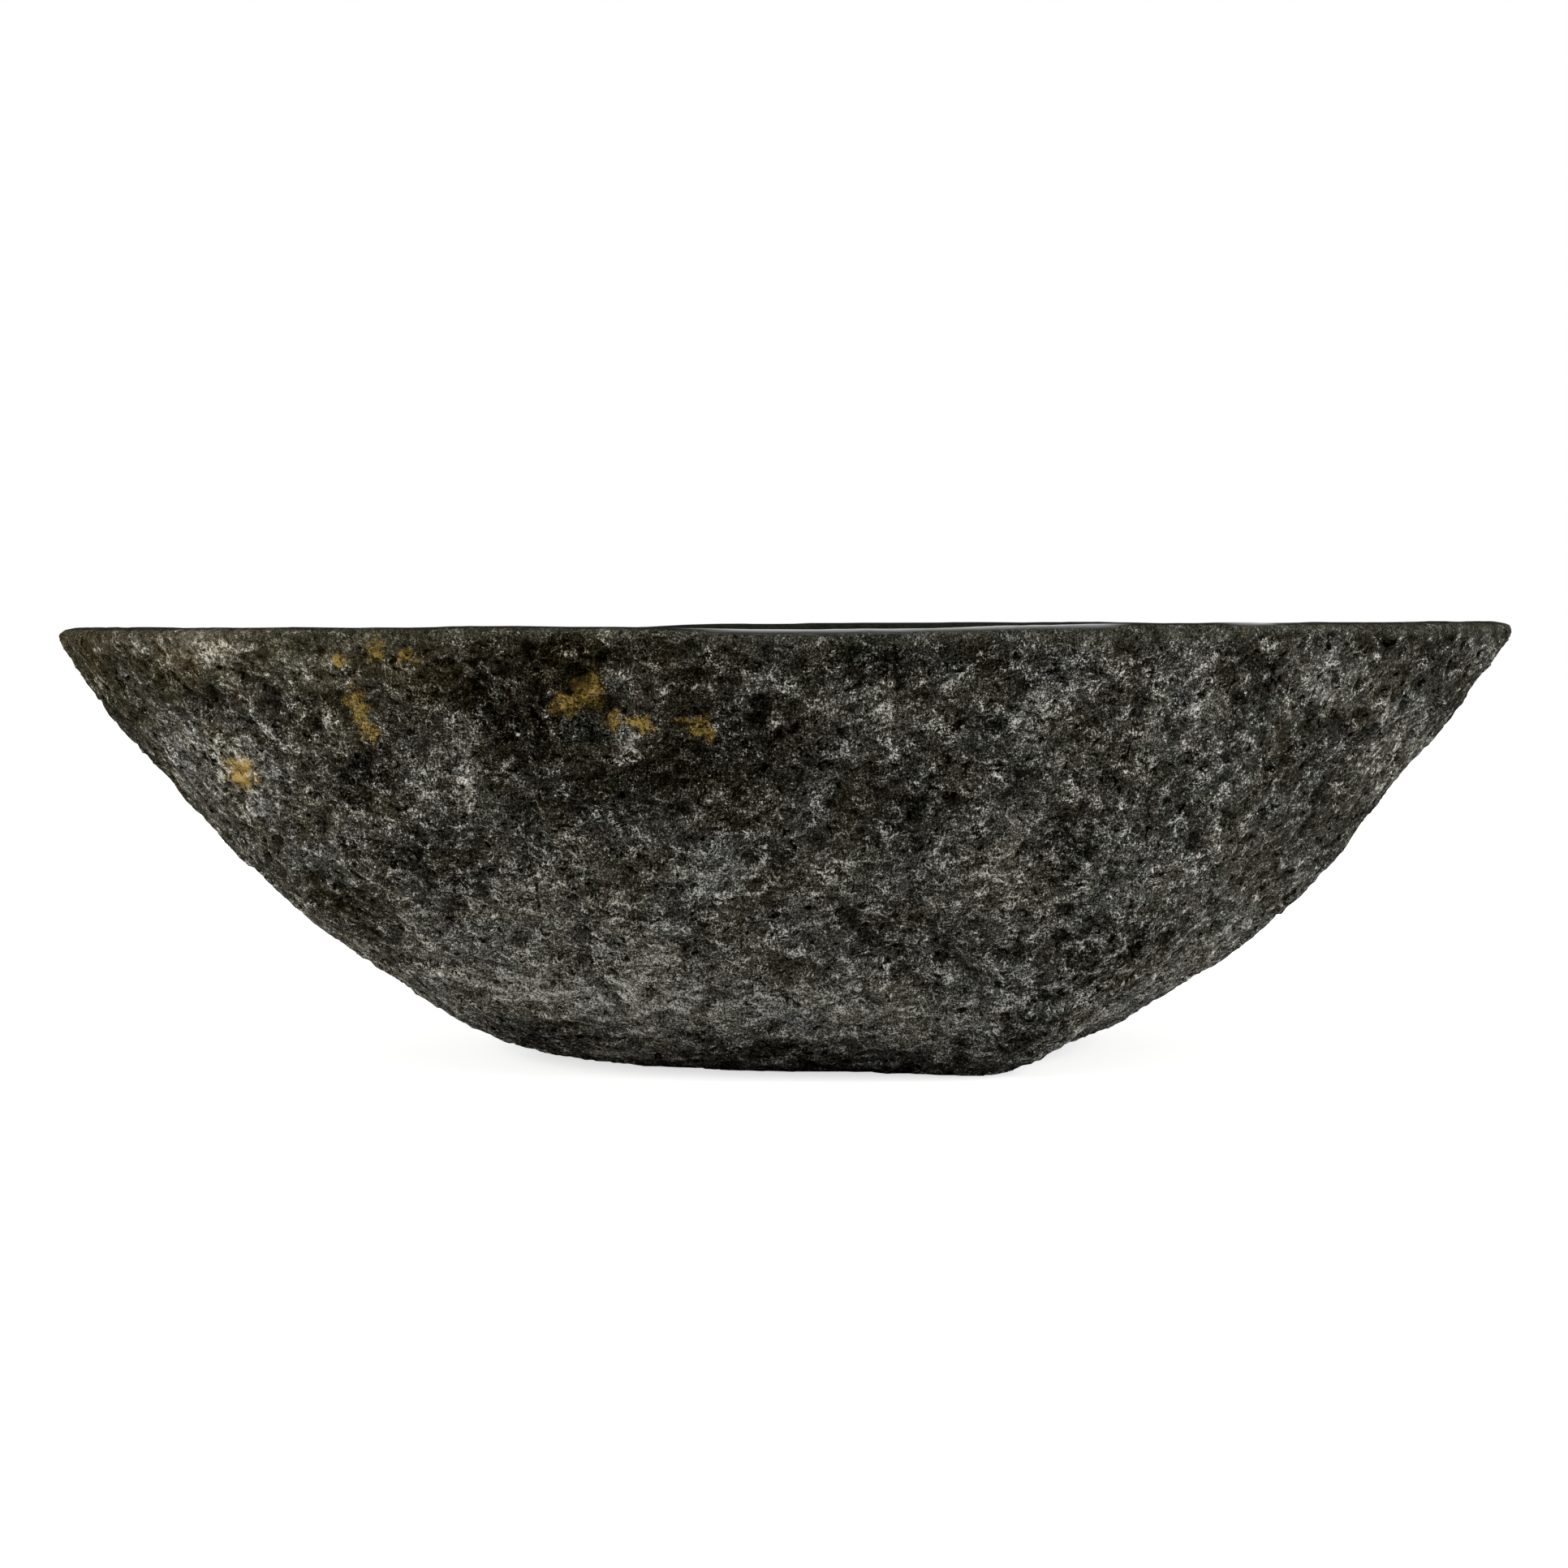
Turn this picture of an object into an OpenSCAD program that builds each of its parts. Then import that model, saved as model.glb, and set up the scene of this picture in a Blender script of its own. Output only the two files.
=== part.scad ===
// Legless molcajete: a wide, low mortar hollowed out of one river stone,
// with its loose grinding hand stone, the tejolote, lying in the hollow.
// Millimetres, +Z up. The origin is on the surface that the stone stands on,
// under the middle of its box. -Y is the front and +X the right.

/* [Mortar stone] */
// Overall length, tip to tip
stone_length = 380; // [320:5:460]
// Overall width, front to back
stone_width = 300; // [260:5:360]
// Height of the ground rim above the surface that the stone stands on
stone_height = 113; // [95:1:140]
// Squareness of the plan: 2 is an ellipse, more is fuller at the corners
plan_fullness = 2.15; // [2:0.05:2.6]
// Turn of the plan's long axis, anticlockwise seen from above
plan_turn = 7; // [0:1:12]
// How far the plan strays from a true oval, as a share of its radius
plan_stray = 0.016; // [0:0.002:0.03]
// How full the belly is: small is a bulging wall, 1 is a straight cone
belly_power = 0.59; // [0.5:0.01:0.7]
// How much fuller the belly is at the front and back than at the tips
belly_bulge = 0.1; // [0:0.01:0.12]
// How much fuller it is at the right tip than at the left one
belly_lean = 0.03; // [0:0.01:0.06]
// Height of the natural swells in the rough wall
swell_height = 1.6; // [0:0.1:3]
// Height of the smaller lumps between the swells
lump_height = 1.5; // [0:0.1:2.5]
// Depth of the deepest knock in the wall
knock_depth = 2.4; // [0:0.1:4]

/* [Foot] */
// Length of the flat that the stone stands on
foot_length = 112; // [80:2:120]
// Width of that flat, front to back
foot_width = 96; // [80:2:120]
// How far the flat lies to the right of the stone's middle
foot_offset = 3; // [0:1:15]
// How far the boulder's heel reaches past the flat at the front right
heel_reach = 28; // [0:1:30]
// Direction of the heel from the stone's middle
heel_angle = 311; // [280:1:330]
// Half-width of the heel, as an angle
heel_spread = 14; // [12:1:25]

/* [Rim] */
// Width of the ground lip, outer edge to hollow
lip_width = 13; // [10:0.5:18]
// Rise of the lip's crown above its edges
lip_crown = 2.6; // [1:0.1:4]
// How much lower the rim is at the left tip than at the right one
rim_fall = 1.5; // [0:0.1:3]
// Depth of the dip worn in the front of the rim
rim_dip = 1.1; // [0:0.1:3]

/* [Hollow] */
// Stone left under the deepest point of the hollow
floor_thickness = 25; // [18:1:32]
// Shape of the hollow: 2 is a paraboloid, more is flatter with steeper sides
hollow_power = 2.5; // [2.2:0.1:2.9]

/* [Tejolote] */
// Length of the hand stone
pestle_length = 122; // [90:1:140]
// Diameter of its grinding head
head_diameter = 62; // [50:1:70]
// Diameter of its grip end
grip_diameter = 41; // [32:1:50]
// How strongly its section is three-sided, as a share of its radius
pestle_facet = 0.045; // [0:0.005:0.08]
// Direction that the grinding head points in, seen from above
pestle_turn = 214; // [0:1:359]
// Place of the hand stone's middle, to the right of the hollow's middle
pestle_right = 26; // [-30:1:30]
// Place of the hand stone's middle, behind the hollow's middle
pestle_back = 10; // [-20:1:20]
// Gap left between the hand stone and the hollow it lies in
rest_gap = 0.35; // [0.25:0.05:0.6]

/* [Hidden] */

STONE = [0.25, 0.245, 0.22];
HAND_STONE = [0.33, 0.32, 0.29];

// Facets: steps round the bowl, and rings up its wall, over its lip and down its hollow
around = 112;
wall_rings = 26;
hollow_rings = 17;
// The wall's lowest rings lie closer together, where it curves under to the foot
ring_crowding = 1.6;
// Waves that make the plan and the foot stray from an oval: [number round the stone, phase, share]
PLAN_WAVES = [[2, 40, 1], [3, 65, 0.8], [5, 70, 0.55], [8, 100, 0.35]];
FOOT_WAVES = [[4, 60, 1]];
foot_stray = 0.04;
// Swells in the wall: [waves in a stone's length along X, Y and Z, phase, share of swell_height]
SWELLS = [[[3.6, 4.1, 0.4], 20, 0.25], [[3.6, -4.1, 4], 20, 0.25],
          [[6.6, 4.6, -5.5], 0, 0.3], [[5.4, -7.7, 9.4], 140, 0.2]];
// Lumps, about a thumb's length apart, in the same terms: [waves, phase, share of lump_height]
LUMPS = [[[9.5, 1.5, 4], 30, 0.2], [[-6, 8.5, 3.5], 200, 0.2], [[4.5, -9, 6.5], 110, 0.2],
         [[8, 6, -7], 300, 0.2], [[-2.5, 4.5, 11], 70, 0.2], [[11, -5, 1], 250, 0.2]];
// Knocks: [direction, share of the wall's height, reach as a share of the stone's length,
// share of knock_depth], where a share above 0 stands proud and one below 0 is sunk
KNOCKS = [[244.5, 0.94, 0.042, -0.9], [244.3, 0.83, 0.058, -0.8], [252, 0.33, 0.068, 0.9],
          [277, 0.45, 0.068, -0.65], [224, 0.85, 0.053, -0.6], [82, 0.73, 0.063, -1],
          [127, 0.64, 0.074, 1], [47, 0.55, 0.058, 0.9], [18, 0.68, 0.053, -1],
          [160, 0.74, 0.058, -0.9], [206, 0.42, 0.058, 0.85], [356, 0.62, 0.11, -0.7],
          [184, 0.8, 0.1, 0.75], [197, 0.18, 0.08, -0.9], [353, 0.14, 0.06, -0.9],
          [350, 0.34, 0.055, 0.5]];
// The lip, from its outer edge to the hollow: [share of its width, share of its crown]
LIP = [[0, 0], [0.06, 0.4], [0.2, 0.78], [0.5, 1], [0.8, 0.72], [0.94, 0.3]];
// Dips in the rim: [direction, half-width as an angle, share of the front one's depth]
RIM_DIPS = [[277, 17, 1], [140, 35, 0.7], [116, 12, 0.9], [36, 13, 1]];
// Stone ground off the foot, so that it is one true plane
ground_off = 2;
// Facets of the hand stone: steps round it, and rings from end to end
pestle_around = 36;
pestle_rings = 26;
// How short and how round the hand stone's ends are
end_bluntness = 4.5;
end_roundness = 2.4;
// Which way one of its three flatter sides faces
flat_side = 90;
// Share of its length, either side of its middle, that never touches the hollow
clear_middle = 1 / 6;
// Times that its tilt is worked out again before it lies still
settle_tries = 6;

// ---- the stone's plan ------------------------------------------------------

// Radius of an oval with half-axes a and b at an angle
function oval(angle, a, b, fullness) =
    pow(pow(abs(cos(angle)) / a, fullness) + pow(abs(sin(angle)) / b, fullness), -1 / fullness);

// The way that a river-worn outline strays from an oval
function sum(values) = values * [for (value = values) 1];
function stray(angle, waves) = sum([for (wave = waves) wave[2] * sin(wave[0] * angle + wave[1])]);

function rim_radius(angle) =
    (1 + plan_stray * stray(angle, PLAN_WAVES))
    * oval(angle - plan_turn, stone_length / 2, stone_width / 2, plan_fullness);

function direction(angle) = [cos(angle), sin(angle)];
ANGLES = [for (i = [0 : around - 1]) 360 * i / around];
PLAN = [for (angle = ANGLES) rim_radius(angle) * direction(angle)];
plan_low = [min([for (p = PLAN) p.x]), min([for (p = PLAN) p.y])];
plan_high = [max([for (p = PLAN) p.x]), max([for (p = PLAN) p.y])];
plan_middle = (plan_low + plan_high) / 2;
plan_fit = [stone_length / (plan_high.x - plan_low.x), stone_width / (plan_high.y - plan_low.y)];

// Brings a point of the plan to the stone's own box, and back again
function fitted(p) =
    [(p.x - plan_middle.x) * plan_fit.x, (p.y - plan_middle.y) * plan_fit.y, p.z];
function unfitted(x, y) = [x / plan_fit.x, y / plan_fit.y] + plan_middle;

// ---- the rough wall --------------------------------------------------------

// 1 at the middle of a bump, fading to 0 either side of it
function bump(angle, middle, spread) =
    exp(-pow(((angle - middle + 540) % 360 - 180) / spread, 2));

function foot_radius(angle) =
    oval(angle, foot_length / 2, foot_width / 2, 2) * (1 + foot_stray * stray(angle, FOOT_WAVES))
    + foot_offset * cos(angle)
    + heel_reach * bump(angle, heel_angle, heel_spread);

// Broad swells that the river left, about a hand's breadth across, with smaller lumps on them
function waving(p, waves) =
    sum([for (wave = waves) wave[2] * sin(360 * wave[0] * p / stone_length + wave[1])]);
function swell(p) = swell_height * waving(p, SWELLS) + lump_height * waving(p, LUMPS);

// The rim is ground level by eye, so it falls a little to the left and dips where it was worked most
function rim_drop(angle) =
    rim_fall * (1 - cos(angle)) / 2
    + rim_dip * sum([for (dip = RIM_DIPS) dip[2] * bump(angle, dip[0], dip[1])]);
least_drop = min([for (angle = ANGLES) rim_drop(angle)]);
function rim_height(angle) = stone_height - (rim_drop(angle) - least_drop);
function edge_height(angle) = rim_height(angle) - lip_crown;

// rise is 0 at the foot and 1 at the outer edge of the lip, and the swells fade out at both
function wall_power(angle) = belly_power - belly_bulge * abs(sin(angle)) - belly_lean * cos(angle);
function even_wall(angle, rise) =
    concat((foot_radius(angle) + (rim_radius(angle) - foot_radius(angle)) * pow(rise, wall_power(angle)))
           * direction(angle),
           edge_height(angle) * rise);

// Where the river knocked the stone, smooth dents and bosses fade out into the wall round them
KNOCK_PLACES = [for (knock = KNOCKS) even_wall(knock[0], knock[1])];
function fading(away) = away < 1 ? pow(1 - away, 2) * (1 + 2 * away) : 0;
function knocked(p) =
    knock_depth * sum([for (i = [0 : len(KNOCKS) - 1])
        KNOCKS[i][3] * fading(norm(p - KNOCK_PLACES[i]) / (KNOCKS[i][2] * stone_length))]);

function wall_point(angle, rise) =
    let (even = even_wall(angle, rise),
         fade = 2 * sqrt(rise * (1 - rise)),
         rough = fade * swell(even) + knocked(even))
    even + concat(rough * direction(angle), 0);

// ---- the lip and the hollow ------------------------------------------------

function lip_point(angle, share, crown) =
    concat((rim_radius(angle) - lip_width * share) * direction(angle),
           edge_height(angle) + lip_crown * crown);

function mouth_radius(angle) = rim_radius(angle) - lip_width;
function hollow_height(angle, reach) =
    floor_thickness + (edge_height(angle) - floor_thickness) * pow(reach, hollow_power);
// reach is 0 at the deepest point of the hollow and 1 at its mouth
function hollow_point(angle, reach) =
    concat(mouth_radius(angle) * reach * direction(angle), hollow_height(angle, reach));

// Height of the hollow's surface under a point of the finished stone
function hollow_under(x, y) =
    let (p = unfitted(x, y), angle = atan2(p.y, p.x))
    hollow_height(angle, norm(p) / mouth_radius(angle));

// ---- solids made of rings --------------------------------------------------

// Closes a stack of rings, each of n points, with a polygon over each end.
// Each ring runs anticlockwise as seen from the last ring's end, looking back at the first.
module ring_solid(rings) {
    n = len(rings[0]);
    last = len(rings) - 1;
    polyhedron(
        points = [for (ring = rings) each ring],
        faces = concat(
            [[for (i = [0 : n - 1]) i]],
            [for (j = [0 : last - 1], i = [0 : n - 1])
                let (a = j * n + i, b = j * n + (i + 1) % n)
                each [[a, a + n, b], [b, a + n, b + n]]],
            [[for (i = [n - 1 : -1 : 0]) last * n + i]]),
        convexity = 6);
}

// The stone itself: up the rough wall, over the lip and down the hollow
module mortar_bowl() {
    wall = [for (j = [0 : wall_rings - 1])
        [for (angle = ANGLES) fitted(wall_point(angle, pow(j / wall_rings, ring_crowding)))]];
    lip = [for (place = LIP) [for (angle = ANGLES) fitted(lip_point(angle, place[0], place[1]))]];
    hollow = [for (j = [hollow_rings : -1 : 1])
        [for (angle = ANGLES) fitted(hollow_point(angle, j / hollow_rings))]];
    sunk = [for (p = wall[0]) [p.x, p.y, -ground_off]];
    color(STONE) difference() {
        ring_solid(concat([sunk], wall, lip, hollow));
        translate([-stone_length, -stone_width, -2 * ground_off])
            cube([2 * stone_length, 2 * stone_width, 2 * ground_off]);
    }
}

// ---- the hand stone --------------------------------------------------------

// share is 0 at the end of the grip and 1 at the grinding face
function pestle_radius(share) =
    let (widening = (1 - cos(180 * share)) / 2,
         end = pow(1 - pow(abs(2 * share - 1), end_bluntness), 1 / end_roundness))
    end * (grip_diameter + (head_diameter - grip_diameter) * widening) / 2;

function pestle_section(angle) = 1 + pestle_facet * cos(3 * angle + flat_side);

// Its rings, lying along +X with the grinding head at +X.
// Even steps of the half circle put more of them at its rounded ends.
PESTLE = [for (j = [1 : pestle_rings - 1])
    let (share = (1 - cos(180 * j / pestle_rings)) / 2)
    [for (i = [0 : pestle_around - 1])
        let (angle = 360 * i / pestle_around,
             radius = pestle_radius(share) * pestle_section(angle))
        [pestle_length * (share - 0.5), radius * cos(angle), radius * sin(angle)]]];

function tilted(p, tilt) = [p.x * cos(tilt) - p.z * sin(tilt), p.y, p.x * sin(tilt) + p.z * cos(tilt)];
function turned(p) =
    [p.x * cos(pestle_turn) - p.y * sin(pestle_turn) + pestle_right,
     p.x * sin(pestle_turn) + p.y * cos(pestle_turn) + pestle_back, p.z];

// How far a set of points has to be lifted to clear the hollow
function clearing_lift(points) = max([for (p = points) hollow_under(p.x, p.y) - p.z]);

// The tilt at which the head and the grip both touch the hollow: each end is
// dropped by itself, and the difference is taken up by turning the stone a little
function end_lift(side, tilt) =
    clearing_lift([for (ring = PESTLE) if (ring[0].x * side > clear_middle * pestle_length)
        each [for (p = ring) turned(tilted(p, tilt))]]);
function settled(tilt, tries) =
    tries == 0 ? tilt
    : settled(tilt + atan((end_lift(1, tilt) - end_lift(-1, tilt)) / pestle_length), tries - 1);
pestle_tilt = settled(0, settle_tries);

LYING = [for (ring = PESTLE) [for (p = ring) turned(tilted(p, pestle_tilt))]];
pestle_lift = clearing_lift([for (ring = LYING) each ring]) + rest_gap;

module tejolote() {
    color(HAND_STONE) translate([0, 0, pestle_lift]) ring_solid(LYING);
}

mortar_bowl();
tejolote();
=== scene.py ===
from math import atan, pi

import bpy
import numpy as np
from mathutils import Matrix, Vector


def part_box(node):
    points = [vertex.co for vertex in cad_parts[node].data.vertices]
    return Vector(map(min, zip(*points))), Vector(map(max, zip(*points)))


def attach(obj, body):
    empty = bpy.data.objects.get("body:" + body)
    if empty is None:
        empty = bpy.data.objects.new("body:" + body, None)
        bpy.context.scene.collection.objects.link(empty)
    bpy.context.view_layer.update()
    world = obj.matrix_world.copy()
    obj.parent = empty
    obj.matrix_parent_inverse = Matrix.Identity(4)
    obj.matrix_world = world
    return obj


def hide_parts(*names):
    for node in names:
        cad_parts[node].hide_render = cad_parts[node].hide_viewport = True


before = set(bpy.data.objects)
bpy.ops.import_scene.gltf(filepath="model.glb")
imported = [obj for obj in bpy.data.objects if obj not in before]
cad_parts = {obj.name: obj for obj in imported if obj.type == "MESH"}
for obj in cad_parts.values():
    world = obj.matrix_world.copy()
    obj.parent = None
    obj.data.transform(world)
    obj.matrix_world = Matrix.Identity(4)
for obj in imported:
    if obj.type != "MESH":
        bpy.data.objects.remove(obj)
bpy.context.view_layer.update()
scene = bpy.context.scene
scene.view_settings.view_transform = "Standard"

# ---- The mortar: its shape -------------------------------------------------
# One boulder of dark, coarse river stone. Its outside is the natural rind, worn
# lumpy and full of small pits. The hollow was cut out of it and honed, and the
# lip was ground by hand, so the smooth band runs a little over its outer edge.


def loose_copy(node, name):
    """A copy of a CAD solid on its own, merged into one skin of quads."""
    merge_distance = 0.00001
    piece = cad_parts[node].copy()
    piece.data = piece.data.copy()
    piece.name = name
    piece.data.name = name
    piece.parent = None
    for key in [key for key in piece.keys() if key.startswith("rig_")]:
        del piece[key]
    piece.data.materials.clear()
    scene.collection.objects.link(piece)
    bpy.ops.object.select_all(action="DESELECT")
    piece.select_set(True)
    bpy.context.view_layer.objects.active = piece
    bpy.ops.object.mode_set(mode="EDIT")
    bpy.ops.mesh.select_all(action="SELECT")
    bpy.ops.mesh.remove_doubles(threshold=merge_distance)
    bpy.ops.mesh.tris_convert_to_quads()
    bpy.ops.object.mode_set(mode="OBJECT")
    return piece


def finish_with(piece, kind, **settings):
    """Adds one modifier, sets it and applies it."""
    modifier = piece.modifiers.new(kind.lower(), kind)
    for name, value in settings.items():
        setattr(modifier, name, value)
    bpy.ops.object.modifier_apply(modifier=modifier.name)


def points_of(piece):
    """Every point's place and normal, one row each."""
    places = np.zeros(len(piece.data.vertices) * 3)
    normals = np.zeros(len(piece.data.vertices) * 3)
    piece.data.vertices.foreach_get("co", places)
    piece.data.vertices.foreach_get("normal", normals)
    return places.reshape(-1, 3), normals.reshape(-1, 3)


def edit_points(piece, chosen):
    """Goes into edit mode with just the chosen points selected."""
    bpy.ops.object.mode_set(mode="EDIT")
    bpy.ops.mesh.select_mode(type="VERT")
    bpy.ops.mesh.select_all(action="DESELECT")
    bpy.ops.object.mode_set(mode="OBJECT")
    piece.data.vertices.foreach_set("select", chosen)
    bpy.ops.object.mode_set(mode="EDIT")


def keep_values(piece, name, values):
    """Stores one number for each point, for the material to read."""
    attribute = piece.data.attributes.new(name, "FLOAT", "POINT")
    attribute.data.foreach_set("value", values.astype(np.float32))


def weight_points(piece, name, values, steps=32):
    """A vertex group, filled a step at a time."""
    group = piece.vertex_groups.new(name=name)
    levels = np.rint(values * steps).astype(int)
    for level in range(1, steps + 1):
        group.add(np.flatnonzero(levels == level).tolist(), level / steps, "REPLACE")


def moved_since(piece, places, normals):
    """How far each point has moved out along its old normal, in millimetres, about their mean."""
    millimetres = 1000
    moved = ((points_of(piece)[0] - places) * normals).sum(axis=1) * millimetres
    return moved - moved.mean()


def smooth_step(low, high, values):
    """0 up to low, 1 from high on, and an even curve between them."""
    share = np.clip((values - low) / (high - low), 0, 1)
    return share * share * (3 - 2 * share)


def relief_texture(name, kind, size, **settings):
    """A solid texture that a Displace modifier reads, its features size metres apart."""
    texture = bpy.data.textures.new(name, kind)
    texture.noise_scale = size
    for key, value in settings.items():
        setattr(texture, key, value)
    return texture


def roughen(piece, texture, height, group="", level=0.5):
    """Raises and sinks the skin along its own normals, by the texture."""
    finish_with(piece, "DISPLACE", texture=texture, texture_coords="LOCAL", direction="NORMAL",
                strength=height, mid_level=level, vertex_group=group)


def pits_texture(name, size, floor, brim):
    """A level surface, 1, with holes down to 0 where the noise is low."""
    texture = relief_texture(name, "CLOUDS", size, noise_depth=2)
    texture.use_color_ramp = True
    texture.color_ramp.elements[0].position = floor
    texture.color_ramp.elements[0].color = (0, 0, 0, 1)
    texture.color_ramp.elements[1].position = brim
    texture.color_ramp.elements[1].color = (1, 1, 1, 1)
    return texture


mortar = loose_copy("mortar_bowl", "stone_mortar")
bowl_low, bowl_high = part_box("mortar_bowl")

# The foot's flat is sunk while the skin is worked, and cut level again at the end
foot_sink = 0.0025
on_the_ground = 0.00005
places = points_of(mortar)[0]
edit_points(mortar, places[:, 2] < on_the_ground)
bpy.ops.transform.translate(value=(0, 0, -foot_sink))
bpy.ops.object.mode_set(mode="OBJECT")
finish_with(mortar, "SUBSURF", levels=2, render_levels=2)

# Small knocks that broke the skin: where, how far they reach, and how proud (+) or sunk (-)
KNOCKS = [
    ((0.058, -0.118, 0.074), 0.009, 0.0018),
    ((0.049, -0.114, 0.066), 0.007, 0.0014),
    ((0.062, -0.112, 0.062), 0.010, -0.0026),
    ((-0.071, -0.137, 0.100), 0.010, -0.0022),
    ((-0.083, -0.138, 0.103), 0.008, -0.0020),
    ((-0.064, -0.125, 0.075), 0.012, -0.0020),
    ((-0.020, -0.105, 0.043), 0.014, 0.0020),
    ((-0.104, -0.112, 0.070), 0.007, -0.0022),
    ((-0.136, -0.105, 0.090), 0.008, -0.0020),
    ((0.106, -0.112, 0.083), 0.006, -0.0020),
    ((0.110, -0.082, 0.036), 0.007, -0.0022),
    ((0.019, -0.144, 0.104), 0.009, -0.0026),
    ((0.034, -0.146, 0.106), 0.006, -0.0016),
    ((0.096, -0.110, 0.084), 0.005, -0.0030),
    ((0.144, -0.084, 0.107), 0.006, -0.0024),
    ((0.045, -0.113, 0.057), 0.011, 0.0022),
    ((0.037, -0.115, 0.060), 0.006, -0.0022),
    ((-0.073, -0.130, 0.082), 0.009, 0.0016),
]
# Near the lip a knock goes straight in, so that the lip keeps its height
near_the_lip = 0.085
places, normals = points_of(mortar)
for place, reach, depth in KNOCKS:
    away = np.linalg.norm(places - np.array(place), axis=1)
    nearest = int(np.argmin(away))
    edit_points(mortar, np.arange(len(places)) == nearest)
    push = Vector(normals[nearest])
    if place[2] > near_the_lip:
        push.z = 0
    bpy.ops.transform.translate(value=push.normalized() * depth, use_proportional_edit=True,
                                proportional_edit_falloff="SMOOTH", proportional_size=reach)
    bpy.ops.object.mode_set(mode="OBJECT")

finish_with(mortar, "REMESH", mode="VOXEL", voxel_size=0.0013)
smooth_places, smooth_normals = points_of(mortar)

# How far each point is below the crest of the lip at its own side of the stone
sectors = 360
side = np.arctan2(smooth_places[:, 1], smooth_places[:, 0])
sector = ((side + pi) / (2 * pi) * (sectors - 1)).astype(int)
crest = np.zeros(sectors)
np.maximum.at(crest, sector, smooth_places[:, 2])
drop = crest[sector] - smooth_places[:, 2]

# The ground band is wider here and narrower there, and fades into the rind:
# how much, how many times round the stone, and where each wave starts
band = 0.0034
for height, waves, start in ((0.0011, 5, 1), (0.0008, 11, 0), (0.0005, 23, 2)):
    band = band + height * np.sin(waves * side + start)
ground = 1 - smooth_step(band - 0.0012, band + 0.0014, drop)

# Where the skin faces up and towards the middle of the stone, it is the wall of the hollow
outwards = (smooth_places[:, :2] * smooth_normals[:, :2]).sum(axis=1)
inwards = -outwards / np.hypot(smooth_places[:, 0], smooth_places[:, 1])
inside = smooth_step(0.0, 0.12, inwards) * (smooth_normals[:, 2] > 0)

# Stretches of the lip that hands have polished: where each one starts, is full, fades and ends
far_side_shift = 0.125
POLISHED = [(-0.021, -0.017, 0.072, 0.078), (0.104, 0.107, 0.112, 0.115)]
along_lip = np.where(smooth_places[:, 1] < 0, smooth_places[:, 0], smooth_places[:, 0] - far_side_shift)
rubbed = sum(smooth_step(start, full, along_lip) * (1 - smooth_step(fades, ends, along_lip))
             for start, full, fades, ends in POLISHED)
top_of_lip = smooth_step(0.95 - 0.20 * rubbed, 0.985 - 0.10 * rubbed, smooth_normals[:, 2])
cut_by_hand = np.maximum(inside, top_of_lip)
facing_up = smooth_step(0.0, 0.5, smooth_normals[:, 2])
keep_values(mortar, "honed", cut_by_hand)
keep_values(mortar, "ground", ground)
keep_values(mortar, "lip", rubbed * top_of_lip * (1 - smooth_step(0.0003, 0.0014, drop)))
weight_points(mortar, "rind", 1 - np.maximum(facing_up, 0.45 * ground))
weight_points(mortar, "cut", cut_by_hand)

knobs = relief_texture("knobs", "CLOUDS", size=0.014, noise_depth=2)
roughen(mortar, knobs, height=0.0014, group="rind")
lumpy_places, lumpy_normals = points_of(mortar)
crust = relief_texture("crust", "MUSGRAVE", size=0.0075, musgrave_type="RIDGED_MULTIFRACTAL",
                       octaves=3, dimension_max=0.9, offset=0.9, gain=2.0)
roughen(mortar, crust, height=0.0007, group="rind")
pocks = pits_texture("pocks", size=0.0060, floor=0.30, brim=0.40)
roughen(mortar, pocks, height=0.0012, group="rind", level=1)
pinholes = pits_texture("pinholes", size=0.0034, floor=0.31, brim=0.38)
roughen(mortar, pinholes, height=0.0006, group="rind", level=1)
hand_work = relief_texture("hand_work", "CLOUDS", size=0.020, noise_depth=2)
roughen(mortar, hand_work, height=0.0006, group="cut")

# The material reads how proud or sunk the fine relief is, and paints the sunk parts darker
# as shade and the proud parts paler. The skin is then thinned where it is plainest.
keep_values(mortar, "relief", moved_since(mortar, lumpy_places, lumpy_normals))
finish_with(mortar, "DECIMATE", ratio=0.42)

# The foot is cut level, and the stone is brought to its own box
bpy.ops.object.mode_set(mode="EDIT")
bpy.ops.mesh.select_all(action="SELECT")
bpy.ops.mesh.bisect(plane_co=(0, 0, 0), plane_no=(0, 0, 1), clear_inner=True, use_fill=True)
bpy.ops.object.mode_set(mode="OBJECT")
places = points_of(mortar)[0]
low, high = places.min(axis=0), places.max(axis=0)
bpy.ops.object.select_all(action="DESELECT")
mortar.select_set(True)
bpy.context.view_layer.objects.active = mortar
size = np.array(bowl_high) - np.array(bowl_low)
bpy.ops.transform.resize(value=tuple(size / (high - low)), center_override=(0, 0, 0))
bpy.ops.object.transform_apply(location=False, rotation=False, scale=True)
places = points_of(mortar)[0]
bpy.ops.transform.translate(value=tuple(np.array(bowl_low) - places.min(axis=0)))
bpy.ops.object.transform_apply(location=True, rotation=False, scale=False)
bpy.ops.object.shade_smooth()

# ---- The mortar: its stone -------------------------------------------------
# Fine-grained volcanic stone, nearly black where it is fresh or wet. The rind has
# paler grains standing up between the pits, and iron in it has rusted to ochre.


def add_node(tree, kind, **settings):
    """A new node with its settings."""
    node = tree.nodes.new(kind)
    for name, value in settings.items():
        setattr(node, name, value)
    return node


def feed(tree, node, **inputs):
    """Sets a node's inputs, or links them where the value is another node's output."""
    for name, value in inputs.items():
        socket = node.inputs[int(name[1:])] if name[0] == "_" else node.inputs[name.replace("_", " ")]
        if isinstance(value, bpy.types.NodeSocket):
            tree.links.new(value, socket)
        else:
            socket.default_value = value
    return node


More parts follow.
